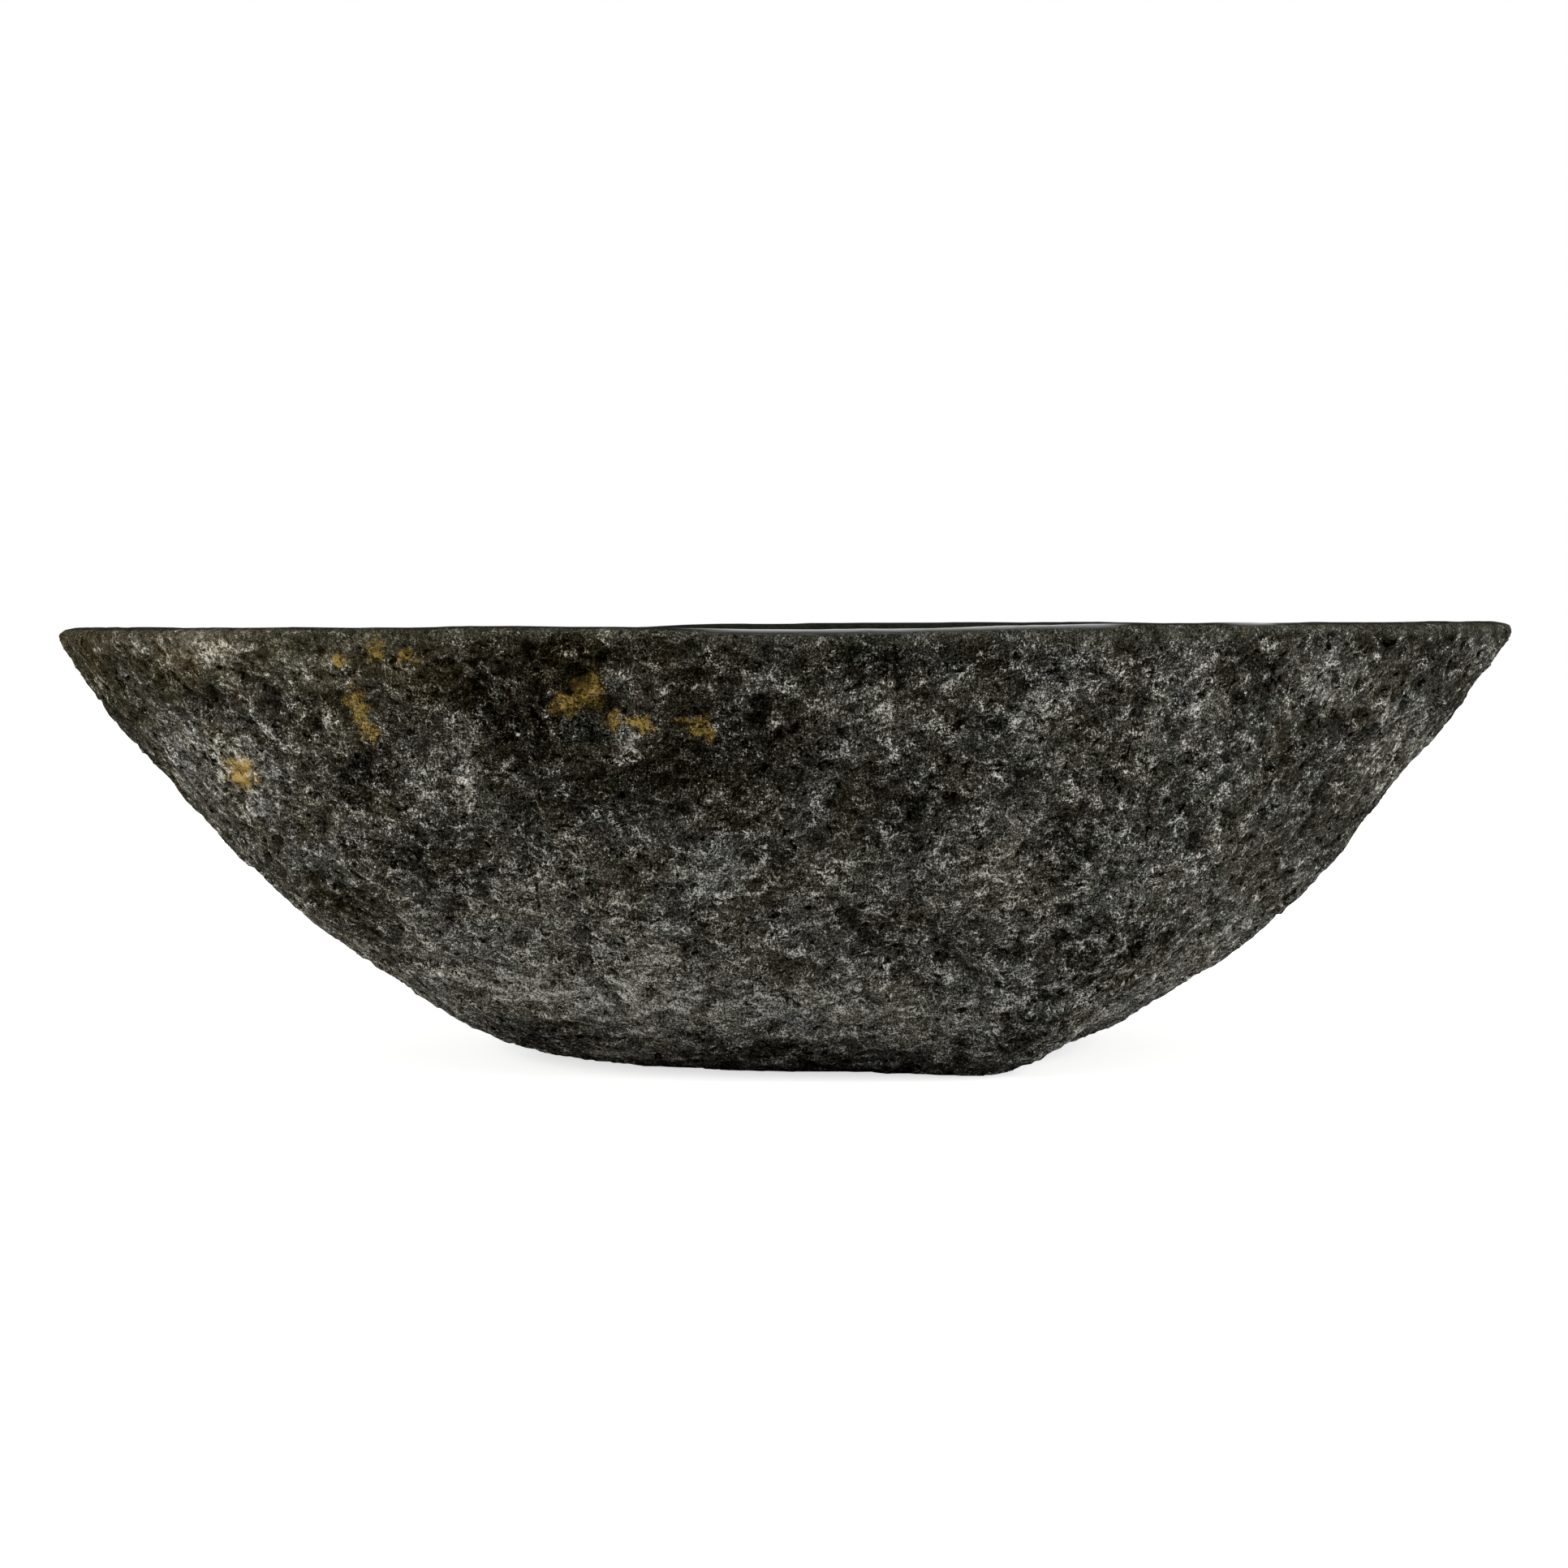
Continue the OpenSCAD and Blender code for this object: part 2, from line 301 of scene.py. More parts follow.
def vector_maths(tree, operation, *values):
    """The result of one step on vectors: a vector, or a number where a length is asked for."""
    node = add_node(tree, "ShaderNodeVectorMath", operation=operation)
    feed(tree, node, **{f"_{slot}": value for slot, value in enumerate(values)})
    return node.outputs["Value" if operation == "LENGTH" else "Vector"]


def maths(tree, operation, first, second=0.0, third=0.0, clamp=False):
    """The result of one step of arithmetic."""
    node = add_node(tree, "ShaderNodeMath", operation=operation, use_clamp=clamp)
    return feed(tree, node, _0=first, _1=second, _2=third).outputs[0]


def remap(tree, value, low, high, to_low=0.0, to_high=1.0, smooth=False):
    """Takes low to to_low and high to to_high, and holds the value level beyond them."""
    kind = "SMOOTHSTEP" if smooth else "LINEAR"
    node = add_node(tree, "ShaderNodeMapRange", interpolation_type=kind)
    return feed(tree, node, _0=value, _1=low, _2=high, _3=to_low, _4=to_high).outputs[0]


def blend_colours(tree, share, first, second, way="MIX"):
    """The first colour, with that share of the second laid over it."""
    node = add_node(tree, "ShaderNodeMix", data_type="RGBA", blend_type=way)
    return feed(tree, node, _0=share, _6=first, _7=second).outputs[2]


def centred(tree, noise):
    """Noise that swings about 0 instead of about a half."""
    return maths(tree, "SUBTRACT", noise, 0.5)


def stored(tree, name):
    """A number that was kept for each point of the piece."""
    return add_node(tree, "ShaderNodeAttribute", attribute_name=name).outputs["Fac"]


def grain(tree, where, size, detail=2.0, rough=0.5, distort=0.0):
    """Noise with features about size across, in the unit of the places."""
    node = add_node(tree, "ShaderNodeTexNoise")
    return feed(tree, node, Vector=where, Scale=1 / size, Detail=detail, Roughness=rough,
                Distortion=distort).outputs[0]


def ridged(tree, where, size, detail=4.0, rough=0.8, gain=2.0):
    """Sharp crests with rounded hollows between them, rougher on the crests than in the hollows."""
    node = add_node(tree, "ShaderNodeTexNoise", noise_type="RIDGED_MULTIFRACTAL")
    return feed(tree, node, Vector=where, Scale=1 / size, Detail=detail, Roughness=rough, Lacunarity=2.1,
                Offset=0.95, Gain=gain, Distortion=0.25).outputs[0]


def strayed(tree, where, size, rough, reach):
    """Places moved about by up to reach, so that what is drawn at them gets uneven edges."""
    noise = add_node(tree, "ShaderNodeTexNoise")
    feed(tree, noise, Vector=where, Scale=1 / size, Detail=4.0, Roughness=rough)
    shift = vector_maths(tree, "MULTIPLY_ADD", noise.outputs["Color"], (2 * reach,) * 3, (-reach,) * 3)
    return vector_maths(tree, "ADD", where, shift)


def toned(tree, value, red, green, blue):
    """A grey of that lightness, tinted: dark tones take more of the tint than pale ones."""
    darkest, to_light = 0.008, 2.2
    channels = add_node(tree, "ShaderNodeCombineColor")
    for socket, shift in zip(channels.inputs, (red, green, blue)):
        shifted = maths(tree, "MAXIMUM", maths(tree, "ADD", value, shift), darkest)
        tree.links.new(maths(tree, "POWER", shifted, to_light), socket)
    return channels.outputs[0]


def bumped(tree, shader, height, depth):
    """Bump for what is too fine for the mesh, depth metres at a height of 1."""
    bump = add_node(tree, "ShaderNodeBump")
    feed(tree, bump, Height=height, Strength=1.0, Distance=depth)
    tree.links.new(bump.outputs[0], shader.inputs["Normal"])


def new_material(name):
    """A material, its tree and its shader."""
    material = bpy.data.materials.new(name)
    material.use_nodes = True
    return material, material.node_tree, material.node_tree.nodes["Principled BSDF"]


def new_group(name, inputs, outputs):
    """An empty shader node group with named sockets."""
    group = bpy.data.node_groups.new(name, "ShaderNodeTree")
    for label, kind in inputs:
        group.interface.new_socket(label, in_out="INPUT", socket_type=kind)
    for label, kind in outputs:
        group.interface.new_socket(label, in_out="OUTPUT", socket_type=kind)
    return group, group.nodes.new("NodeGroupInput"), group.nodes.new("NodeGroupOutput")


def placed(tree, group, **inputs):
    """A node that uses the group, with its inputs set or linked."""
    return feed(tree, add_node(tree, "ShaderNodeGroup", node_tree=group), **inputs)


FLOAT, VECTOR = "NodeSocketFloat", "NodeSocketVector"


def threads_of(tree, where, size, width, **settings):
    """Thin curving lines, about size apart: 1 on a line, 0 away from it."""
    noise = grain(tree, where, size, **settings)
    away = maths(tree, "ABSOLUTE", centred(tree, noise))
    return remap(tree, away, 0.0, width, 1.0, 0.0, smooth=True)


# The stone's broken skin: coarse and fine roughness with sharp crests winding over it
skin, given, made = new_group("stone_skin", [("Vector", VECTOR)], [("Height", FLOAT)])
where = given.outputs["Vector"]
broken = grain(skin, where, 7.0, detail=6.0, rough=0.68)
crests = ridged(skin, where, 6.0, detail=4.0, rough=0.7)
crest_height = 0.06
height = maths(skin, "MULTIPLY_ADD", crests, crest_height, broken)
feed(skin, made, Height=height)

# The grains of the stone, with every size in grains. Edges is how far a place stands above the lower
# of its two neighbours, up to its left and right: painted light on slopes that face up and to the side.
# Threads are thin pale veins with breaks.
grains, given, made = new_group("stone_grains", [("Vector", VECTOR), ("Size", FLOAT)],
                                [("Edges", FLOAT), ("Height", FLOAT), ("Threads", FLOAT), ("Pits", FLOAT),
                                 ("Speckle", FLOAT), ("Crust", FLOAT)])
scaled = add_node(grains, "ShaderNodeVectorMath", operation="SCALE")
feed(grains, scaled, _0=given.outputs["Vector"], Scale=maths(grains, "DIVIDE", 1.0, given.outputs["Size"]))
where = scaled.outputs[0]
here = placed(grains, skin, Vector=where).outputs["Height"]
TO_NEIGHBOURS = ((-0.30, -0.1, 0.20), (0.30, -0.1, 0.20))
rises = []
for step in TO_NEIGHBOURS:
    neighbour = vector_maths(grains, "ADD", where, step)
    beside = placed(grains, skin, Vector=neighbour).outputs["Height"]
    rises.append(maths(grains, "SUBTRACT", here, beside))
edges = maths(grains, "MAXIMUM", *rises)
wide = threads_of(grains, where, 3.0, 0.045, detail=3.5, rough=0.62, distort=0.8)
thin = threads_of(grains, where, 1.1, 0.06, detail=2.0, rough=0.6, distort=0.7)
wide_breaks = grain(grains, where, 3.0, detail=2.0, rough=0.6, distort=0.5)
wide = maths(grains, "MULTIPLY", wide, remap(grains, wide_breaks, 0.42, 0.60, smooth=True))
thin_breaks = grain(grains, where, 1.3, detail=2.0, rough=0.6, distort=0.3)
thin = maths(grains, "MULTIPLY", thin, remap(grains, thin_breaks, 0.44, 0.64, smooth=True))
hollows = grain(grains, where, 3.0, detail=2.5, rough=0.65, distort=0.6)
pits = remap(grains, hollows, 0.39, 0.33, smooth=True)
speckle = grain(grains, where, 0.4, detail=3.0, rough=0.75)
crust = ridged(grains, where, 2.6, detail=5.0, rough=0.85)
feed(grains, made, Edges=edges, Height=here, Threads=maths(grains, "MAXIMUM", wide, thin), Pits=pits,
     Speckle=speckle, Crust=crust)

# A patch at one place on the stone: 1 in its middle, fading to 0 at its reach
patch, given, made = new_group("placed_patch", [("Vector", VECTOR), ("Place", VECTOR), ("Reach", VECTOR)],
                               [("Mask", FLOAT)])
apart = vector_maths(patch, "SUBTRACT", given.outputs["Vector"], given.outputs["Place"])
apart = vector_maths(patch, "LENGTH", vector_maths(patch, "DIVIDE", apart, given.outputs["Reach"]))
feed(patch, made, Mask=remap(patch, apart, 0.25, 1.0, 1.0, 0.0, smooth=True))

river_stone, tree, shader = new_material("river_stone")
place = add_node(tree, "ShaderNodeTexCoord").outputs["Object"]
honed_mask = stored(tree, "honed")
# Painted shade where the relief is sunk, and painted light where it is proud
relief_shading = remap(tree, stored(tree, "relief"), -1.2, 1.2, -1.0, 1.0)
grain_size = 0.0009
grain_of_rind = placed(tree, grains, Vector=place, Size=grain_size).outputs
small_patches = remap(tree, grain(tree, place, 0.005, detail=3.0, rough=0.6, distort=0.5), 0.34, 0.70)
large_patches = remap(tree, grain(tree, place, 0.018, detail=3.0, rough=0.6, distort=0.5), 0.33, 0.67)
wide_patches = remap(tree, grain(tree, place, 0.060, detail=2.0), 0.35, 0.65)

# The edges of patches wander
wandering = strayed(tree, place, size=0.008, rough=0.62, reach=0.009)
across = feed(tree, add_node(tree, "ShaderNodeSeparateXYZ"), _0=wandering).outputs

# Paler (+) and darker (-) parts of the rind: where, how far they reach, and how much. Two of the darker
# ones are painted shade just under the rim, and two are painted shade where the belly turns under at the
# foot
PATCHES = [
    ((-0.064, -0.140, 0.093), (0.030, 0.030, 0.022), -0.100),
    # painted shade just under the rim
    ((-0.055, -0.146, 0.105), (0.030, 0.030, 0.007), -0.090),
    ((-0.045, -0.129, 0.073), (0.018, 0.030, 0.010), -0.065),
    # painted shade just under the rim
    ((0.018, -0.144, 0.105), (0.014, 0.030, 0.007), -0.100),
    ((-0.016, -0.137, 0.084), (0.026, 0.030, 0.020), -0.075),
    ((-0.106, -0.077, 0.042), (0.024, 0.030, 0.015), -0.080),
    # painted shade where the belly turns under at the foot: this row and the next
    ((0.005, -0.074, 0.005), (0.036, 0.030, 0.006), -0.080),
    ((-0.060, -0.062, 0.010), (0.026, 0.040, 0.009), -0.090),
    ((0.156, -0.045, 0.080), (0.026, 0.060, 0.028), 0.100),
    ((-0.034, -0.105, 0.034), (0.016, 0.030, 0.010), 0.080),
    ((-0.076, -0.130, 0.081), (0.009, 0.030, 0.013), 0.130),
    ((-0.038, -0.139, 0.087), (0.005, 0.030, 0.007), 0.120),
    ((0.016, -0.138, 0.093), (0.014, 0.030, 0.008), 0.090),
    ((0.051, -0.116, 0.064), (0.014, 0.030, 0.018), 0.030),
    ((0.060, -0.125, 0.089), (0.012, 0.030, 0.016), 0.070),
    ((0.090, -0.112, 0.094), (0.018, 0.030, 0.014), 0.100),
    ((-0.030, -0.085, 0.021), (0.050, 0.030, 0.010), 0.060),
    ((-0.064, -0.082, 0.024), (0.022, 0.030, 0.008), 0.050),
    ((-0.018, -0.118, 0.053), (0.016, 0.030, 0.011), 0.070),
    ((-0.142, -0.075, 0.078), (0.032, 0.060, 0.024), 0.100),
    ((-0.146, -0.111, 0.107), (0.036, 0.030, 0.007), 0.075),
    ((0.084, -0.090, 0.027), (0.045, 0.050, 0.026), -0.120),
    ((0.026, -0.100, 0.036), (0.030, 0.040, 0.013), -0.080),
    ((-0.083, -0.105, 0.057), (0.018, 0.040, 0.015), -0.090),
    ((-0.100, -0.115, 0.076), (0.013, 0.040, 0.010), -0.100),
    ((0.064, -0.112, 0.058), (0.014, 0.040, 0.012), -0.060),
    ((0.018, -0.125, 0.074), (0.016, 0.040, 0.014), -0.050),
    ((0.129, -0.080, 0.098), (0.020, 0.060, 0.012), 0.100),
    ((0.060, 0.128, 0.080), (0.030, 0.040, 0.016), 0.100),
    ((-0.040, 0.130, 0.060), (0.030, 0.040, 0.020), -0.070),
    ((-0.130, -0.100, 0.070), (0.018, 0.040, 0.013), 0.070),
    ((-0.120, 0.085, 0.075), (0.024, 0.030, 0.018), 0.090),
    ((0.150, 0.040, 0.060), (0.030, 0.030, 0.020), 0.070),
    ((-0.126, -0.100, 0.082), (0.020, 0.040, 0.011), 0.070),
    ((0.041, -0.140, 0.105), (0.014, 0.030, 0.006), -0.060),
    ((0.110, -0.115, 0.105), (0.016, 0.030, 0.006), -0.070),
    ((-0.010, -0.125, 0.066), (0.015, 0.040, 0.009), -0.070),
    ((0.026, -0.120, 0.066), (0.013, 0.040, 0.009), -0.060),
    ((0.059, -0.080, 0.013), (0.015, 0.040, 0.010), -0.080),
    ((-0.044, -0.070, 0.003), (0.013, 0.040, 0.006), 0.090),
    ((0.176, -0.030, 0.105), (0.014, 0.060, 0.008), 0.080),
    ((-0.126, -0.120, 0.107), (0.020, 0.030, 0.006), 0.050),
    ((-0.114, -0.122, 0.102), (0.024, 0.040, 0.006), 0.050),
]
patches = 0.0
for spot, reach, change in PATCHES:
    mask = placed(tree, patch, Vector=wandering, Place=spot, Reach=reach).outputs["Mask"]
    patches = maths(tree, "MULTIPLY_ADD", mask, change, patches)
broken_up = grain(tree, place, 0.0024, detail=4.0, rough=0.7, distort=0.5)
broken_up = remap(tree, broken_up, 0.42, 0.58, 0.35, 1.65, smooth=True)

# The rim is paler and softer towards one end. The belly is paler low down, but not at the
# foot: painted light, as if bounced up from the table. The painted edge light and the speckle are stronger
# in the middle of the stone, which the side lamps graze, than at its ends.
left_rim = maths(tree, "MULTIPLY", remap(tree, across["Z"], 0.092, 0.108),
                 remap(tree, across["X"], 0.0, -0.09))
# Painted light, as if bounced up from the table, low on the belly
painted_bounce_light = maths(tree, "MULTIPLY", remap(tree, across["Z"], 0.075, 0.022),
                  remap(tree, across["Z"], 0.0, 0.014))
# Painted light: the edge light and the speckle are stronger in the middle than at the ends
crisp = remap(tree, maths(tree, "ABSOLUTE", across["X"]), 0.08, 0.18, 1.15, 0.65)
crisp = maths(tree, "MULTIPLY", crisp, maths(tree, "MULTIPLY_ADD", left_rim, -0.40, 1.0))

# How pale the rind is at each point, from its wear and from painted light and shade: painted light
# on its edges, then crust and threads, all of them stronger on islands of paler stone, then the finer and
# the wider changes, each with its share
islands = maths(tree, "POWER", small_patches, 2.0)
# The strength of the painted light on the edges, more on the islands and in the middle of the stone
edge_light = maths(tree, "MULTIPLY", maths(tree, "MULTIPLY_ADD", islands, 24.0, 17.0), crisp)
tone_and_painted_light = maths(tree, "MULTIPLY", grain_of_rind["Edges"], edge_light)
mean_crust = 1.5
crust = maths(tree, "SUBTRACT", grain_of_rind["Crust"], mean_crust)
for layer, on_islands, everywhere in ((crust, 0.6, 0.15), (grain_of_rind["Threads"], 2.8, 1.1)):
    share = maths(tree, "MULTIPLY_ADD", islands, on_islands, everywhere)
    tone_and_painted_light = maths(tree, "MULTIPLY_ADD", layer, share, tone_and_painted_light)
speckle = maths(tree, "MULTIPLY", centred(tree, grain_of_rind["Speckle"]), crisp)
# Painted shade in the pits and the sunk relief, and painted light low on the belly
for layer, share in ((speckle, 8.0), (grain_of_rind["Pits"], -2.0), (small_patches, 0.1),
                     (large_patches, 0.35), (wide_patches, 0.3), (relief_shading, 0.75), (left_rim, 0.45),
                     (painted_bounce_light, 1.0)):
    tone_and_painted_light = maths(tree, "MULTIPLY_ADD", layer, share, tone_and_painted_light)
patch_strength, darker_all_over, palest_tone = 9.0, 1.27, 2.8
tone_and_painted_light = maths(tree, "SUBTRACT", tone_and_painted_light, darker_all_over)
tone_and_painted_light = maths(tree, "MULTIPLY_ADD", maths(tree, "MULTIPLY", patches, broken_up), patch_strength,
                   tone_and_painted_light)
tone_and_painted_light = maths(tree, "MINIMUM", tone_and_painted_light, palest_tone)

# How pale that makes it, on an even scale from black to white
pale = maths(tree, "EXPONENT", maths(tree, "MULTIPLY", tone_and_painted_light, 0.45))
pale = maths(tree, "MULTIPLY_ADD", pale, 0.24, -0.04)

# Browner towards one end of the stone and along its rim there, greyer towards the other
warmth = remap(tree, across["X"], -0.14, 0.08, 1.5, 0.95)
uneven = remap(tree, grain(tree, place, 0.016, detail=3.0), 0.35, 0.65, 0.6, 1.4)
warmth = maths(tree, "MULTIPLY_ADD", left_rim, 1.3, maths(tree, "MULTIPLY", warmth, uneven))
redness = maths(tree, "MULTIPLY", centred(tree, grain(tree, place, 0.007, detail=3.0)), 0.03)
red_shift = maths(tree, "MULTIPLY_ADD", warmth, 0.010, redness)
blue_shift = maths(tree, "MULTIPLY", warmth, maths(tree, "MULTIPLY_ADD", pale, -0.008, -0.0165))
rind_colour = toned(tree, pale, red_shift, 0.005, blue_shift)

# Rust from the iron in the stone, in thin stains that follow its grains: where, and how far
STAINS = [
    ((-0.0462, -0.1435, 0.0973), (0.0055, 0.0200, 0.0065)),
    ((-0.0508, -0.1409, 0.0939), (0.0060, 0.0200, 0.0038)),
    ((-0.0396, -0.1408, 0.0907), (0.0043, 0.0200, 0.0028)),
    ((-0.0337, -0.1403, 0.0892), (0.0046, 0.0200, 0.0036)),
    ((-0.0225, -0.1415, 0.0905), (0.0058, 0.0200, 0.0024)),
    ((-0.0195, -0.1400, 0.0878), (0.0040, 0.0200, 0.0026)),
    ((-0.1009, -0.1302, 0.0948), (0.0032, 0.0200, 0.0038)),
    ((-0.0992, -0.1280, 0.0910), (0.0031, 0.0200, 0.0042)),
    ((-0.0976, -0.1260, 0.0872), (0.0031, 0.0200, 0.0038)),
    ((-0.1320, -0.0945, 0.0765), (0.0062, 0.0200, 0.0066)),
    ((-0.1037, -0.1354, 0.1043), (0.0026, 0.0200, 0.0026)),
    ((-0.0960, -0.1390, 0.1066), (0.0040, 0.0200, 0.0024)),
    ((-0.0883, -0.1403, 0.1055), (0.0033, 0.0200, 0.0030)),
    ((0.1080, -0.1122, 0.1112), (0.0022, 0.0200, 0.0012)),
    ((0.0700, 0.1250, 0.0900), (0.0080, 0.0200, 0.0040)),
    ((0.0780, 0.1200, 0.0840), (0.0040, 0.0200, 0.0050)),
    ((-0.1500, 0.0700, 0.0880), (0.0060, 0.0200, 0.0050)),
    ((0.1430, 0.0500, 0.0560), (0.0040, 0.0120, 0.0040)),
]
ragged = strayed(tree, place, size=0.0034, rough=0.7, reach=0.006)
rust = 0.0
for spot, reach in STAINS:
    mask = placed(tree, patch, Vector=ragged, Place=spot, Reach=reach).outputs["Mask"]
    rust = maths(tree, "MAXIMUM", mask, rust)
rust = maths(tree, "POWER", maths(tree, "MULTIPLY", rust, 1.25, clamp=True), 1.3)
gaps = grain(tree, place, 0.0016, detail=4.0, rough=0.65, distort=0.6)
gaps = remap(tree, gaps, 0.38, 0.54, 0.35, 1.0, smooth=True)
rust = maths(tree, "MULTIPLY", rust, gaps)
palest_under_rust = 0.31
rust_tone = maths(tree, "MULTIPLY_ADD", maths(tree, "MINIMUM", pale, palest_under_rust), 1.2,
                  maths(tree, "MULTIPLY_ADD", rust, 0.06, 0.075))
ochre_tint = (1.74, 1.17, 0.29, 1)
ochre = blend_colours(tree, 1.0, toned(tree, rust_tone, 0.0, 0.0, 0.0), ochre_tint, "MULTIPLY")
rind_colour = blend_colours(tree, rust, rind_colour, ochre)

# Where the lip was ground the stone is plainer, and the honed hollow is nearly black
ground_grain = maths(tree, "MULTIPLY_ADD", centred(tree, grain_of_rind["Speckle"]), 1.3, 0.17)
for layer, share in ((grain_of_rind["Threads"], 0.17), (large_patches, 0.08), (patches, 0.8)):
    ground_grain = maths(tree, "MULTIPLY_ADD", layer, share, ground_grain)
ground_colour = toned(tree, ground_grain, 0.006, 0.008, -0.028)
ground_share = remap(tree, across["X"], -0.11, -0.05, 0.30, 0.55)
ground_share = maths(tree, "MULTIPLY", stored(tree, "ground"), ground_share)
honed_dark = (0.006, 0.0065, 0.0045, 1)
honed_light = (0.017, 0.018, 0.012, 1)
honed_grain = remap(tree, grain(tree, place, 0.0016, detail=3.0, rough=0.6), 0.35, 0.7)
honed_colour = blend_colours(tree, honed_grain, honed_dark, honed_light)
colour = blend_colours(tree, ground_share, rind_colour, ground_colour)
colour = blend_colours(tree, honed_mask, colour, honed_colour)
tree.links.new(colour, shader.inputs["Base Color"])

# The rind is rough and dull. The hollow has a faint sheen, and the polished lip shines.
rind_height = maths(tree, "MULTIPLY_ADD", grain_of_rind["Height"], 4.0,
                    maths(tree, "MULTIPLY", grain_of_rind["Pits"], -0.6))
height = maths(tree, "MULTIPLY", rind_height, maths(tree, "SUBTRACT", 1.0, honed_mask))
bumped(tree, shader, height, depth=0.0006)
shader.inputs["Specular IOR Level"].default_value = 0.0
shader.inputs["Coat Roughness"].default_value = 0.16
shader.inputs["Coat Tint"].default_value = (1.0, 0.99, 0.94, 1)
lip_shine, hollow_sheen = 0.95, 0.02
shine = maths(tree, "MULTIPLY_ADD", stored(tree, "lip"), lip_shine,
              maths(tree, "MULTIPLY", honed_mask, hollow_sheen))
tree.links.new(shine, shader.inputs["Coat Weight"])
tree.links.new(remap(tree, honed_mask, 0.0, 1.0, 0.9, 0.6), shader.inputs["Roughness"])
mortar.data.materials.append(river_stone)
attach(mortar, "mortar")
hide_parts("mortar_bowl")

# ---- The tejolote, the hand stone ------------------------------------------
# A loose piece of the same stone, pecked to fit a hand and worn smooth at its
# grinding head. It lies in the hollow, held only by its weight.

hand_stone = loose_copy("tejolote", "hand_stone")
finish_with(hand_stone, "SUBSURF", levels=1, render_levels=1)
finish_with(hand_stone, "REMESH", mode="VOXEL", voxel_size=0.0010)

# How far along the stone each point lies, from the middle towards the grinding head. The worn
# face starts a little sooner here and later there.
towards_head = np.array((-0.829, -0.559, -0.008))
low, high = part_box("tejolote")
middle = (np.array(low) + np.array(high)) / 2
smooth_places, smooth_normals = points_of(hand_stone)
along = (smooth_places - middle) @ towards_head
uneven_start = 0.004 * np.sin(260 * smooth_places[:, 2])
worn = smooth_step(0.040, 0.052, along + uneven_start)
keep_values(hand_stone, "worn", worn)
weight_points(hand_stone, "pecked", 1 - worn)

pestle_lumps = relief_texture("pestle_lumps", "CLOUDS", size=0.014, noise_depth=1)
roughen(hand_stone, pestle_lumps, height=0.0012, group="pecked", level=1)
peck_marks = pits_texture("peck_marks", size=0.0036, floor=0.34, brim=0.50)
roughen(hand_stone, peck_marks, height=0.0007, group="pecked", level=1)
keep_values(hand_stone, "relief", moved_since(hand_stone, smooth_places, smooth_normals))
finish_with(hand_stone, "DECIMATE", ratio=0.5)
bpy.ops.object.shade_smooth()

# The same stone, drier and barer: little crust, and a plain grey face where it is worn
pestle_stone, tree, shader = new_material("pestle_stone")
place = add_node(tree, "ShaderNodeTexCoord").outputs["Object"]
worn_mask = stored(tree, "worn")
relief_shading = remap(tree, stored(tree, "relief"), -0.5, 0.5, -1.0, 1.0)
grain_of_pestle = placed(tree, grains, Vector=place, Size=grain_size).outputs
patches = remap(tree, grain(tree, place, 0.009, detail=3.0, rough=0.6, distort=0.4), 0.34, 0.68)
speckle = centred(tree, grain_of_pestle["Speckle"])
pale = maths(tree, "MULTIPLY_ADD", grain_of_pestle["Threads"],
             maths(tree, "MULTIPLY_ADD", patches, 0.30, 0.12), 0.14)
# Painted light on the edges and painted shade in the pits and sunk relief, as on the mortar
for layer, share in ((speckle, 1.1), (grain_of_pestle["Pits"], -0.16), (patches, 0.10), (relief_shading, 0.06),
                     (grain_of_pestle["Edges"], 2.0)):
    pale = maths(tree, "MULTIPLY_ADD", layer, share, pale)
worn_tone = maths(tree, "MULTIPLY_ADD", speckle, 0.6, 0.20)
pale = maths(tree, "MULTIPLY_ADD", worn_mask, maths(tree, "SUBTRACT", worn_tone, pale), pale)
tree.links.new(toned(tree, pale, 0.010, 0.005, -0.020), shader.inputs["Base Color"])

height = maths(tree, "MULTIPLY_ADD", grain_of_pestle["Threads"], 0.3,
               maths(tree, "MULTIPLY", grain_of_pestle["Pits"], -1.0))
height = maths(tree, "MULTIPLY_ADD", grain_of_pestle["Height"], 3.0, height)
height = maths(tree, "MULTIPLY", height, remap(tree, worn_mask, 0.0, 1.0, 1.0, 0.15))
bumped(tree, shader, height, depth=0.0005)
shader.inputs["Specular IOR Level"].default_value = 0.12
shader.inputs["Coat Roughness"].default_value = 0.35
worn_shine = 0.15
tree.links.new(maths(tree, "MULTIPLY", worn_mask, worn_shine), shader.inputs["Coat Weight"])
tree.links.new(remap(tree, worn_mask, 0.0, 1.0, 0.88, 0.55), shader.inputs["Roughness"])
hand_stone.data.materials.append(pestle_stone)
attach(hand_stone, "hand_stone")
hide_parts("tejolote")

# ---- The place it is shown in ----------------------------------------------
# A pale table top without an edge, a white surround, and large soft lamps that
# stand to the left and right of the viewer.

bpy.ops.object.select_all(action="DESELECT")
bpy.ops.mesh.primitive_plane_add(size=12, location=(0, 0, 0))
table_top = bpy.context.active_object
table_top.name = "table_top"
pale_table, tree, shader = new_material("pale_table")
shader.inputs["Base Color"].default_value = (0.75, 0.75, 0.74, 1)
shader.inputs["Roughness"].default_value = 0.9
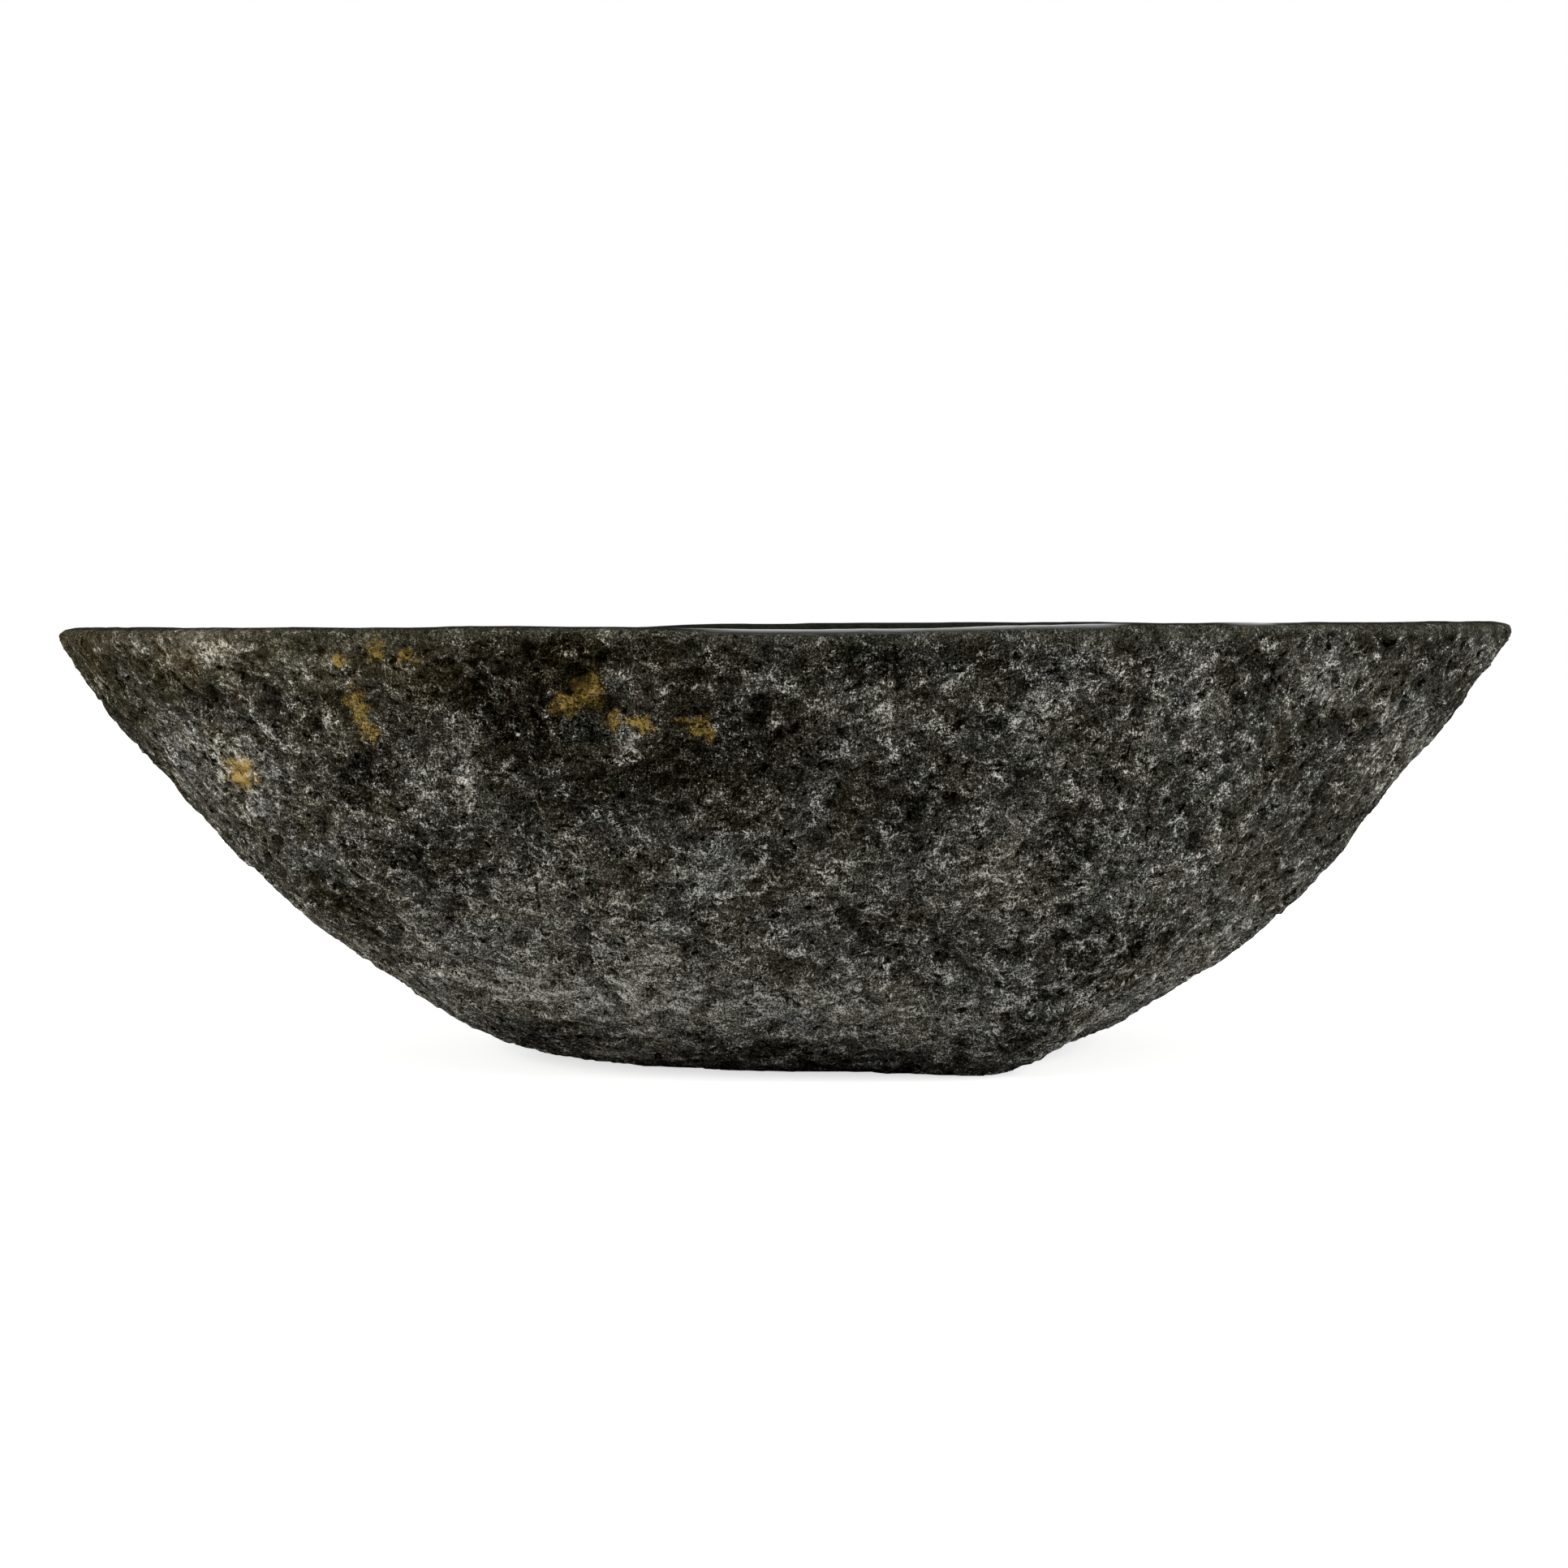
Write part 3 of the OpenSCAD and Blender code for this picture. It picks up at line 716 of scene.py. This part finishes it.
# Its soft shade shows near the stone only, and further out it is as white as the surround
near, far, glow_near, glow_far = 0.15, 0.45, 0.66, 1.0
from_middle = vector_maths(tree, "LENGTH", add_node(tree, "ShaderNodeTexCoord").outputs["Object"])
glow = remap(tree, from_middle, near, far, glow_near, glow_far, smooth=True)
seen = add_node(tree, "ShaderNodeLightPath").outputs["Is Camera Ray"]
shader.inputs["Emission Color"].default_value = (1, 1, 1, 1)
tree.links.new(maths(tree, "MULTIPLY", seen, glow), shader.inputs["Emission Strength"])
table_top.data.materials.append(pale_table)

world = bpy.data.worlds.new("white_surround")
scene.world = world
world.use_nodes = True
tree = world.node_tree
background = tree.nodes["Background"]
# It is white to look at and in reflections, and lights the stone with less than that
lighting, looked_at = 0.3, 1.0
rays = add_node(tree, "ShaderNodeLightPath").outputs
plain = maths(tree, "MAXIMUM", rays["Is Camera Ray"], rays["Is Glossy Ray"])
plain = maths(tree, "MAXIMUM", plain, rays["Is Transmission Ray"])
tree.links.new(remap(tree, plain, 0.0, 1.0, lighting, looked_at), background.inputs["Strength"])
background.inputs["Color"].default_value = (1, 1, 1, 1)


def soft_lamp(name, place, width, height, power, aim=(0, 0, 0.06)):
    """A rectangular lamp that points at the stone."""
    bpy.ops.object.light_add(type="AREA", location=place)
    lamp = bpy.context.active_object
    lamp.name = name
    lamp.data.shape = "RECTANGLE"
    lamp.data.size = width
    lamp.data.size_y = height
    lamp.data.energy = power
    lamp.rotation_euler = (Vector(aim) - Vector(place)).to_track_quat("-Z", "Y").to_euler()


soft_lamp("left_lamp", (-1.45, -0.5, 0.55), width=0.8, height=0.9, power=22)
soft_lamp("right_lamp", (1.45, -0.5, 0.55), width=0.8, height=0.9, power=22)
soft_lamp("top_lamp", (0, -0.2, 1.5), width=1.0, height=0.8, power=4)

# The viewer is level with the rim, a little over a metre in front of the stone
viewing_distance = 1.1
above_rim = 0.0013
picture_width = 0.4129
horizon_above_middle = 0.0443
bpy.ops.object.camera_add(location=(-0.0013, -viewing_distance, bowl_high.z + above_rim),
                          rotation=(pi / 2 - atan(horizon_above_middle / viewing_distance), 0, 0))
camera = bpy.context.active_object
camera.name = "viewer"
camera.data.sensor_width = 36
camera.data.lens = camera.data.sensor_width * viewing_distance / picture_width
scene.camera = camera
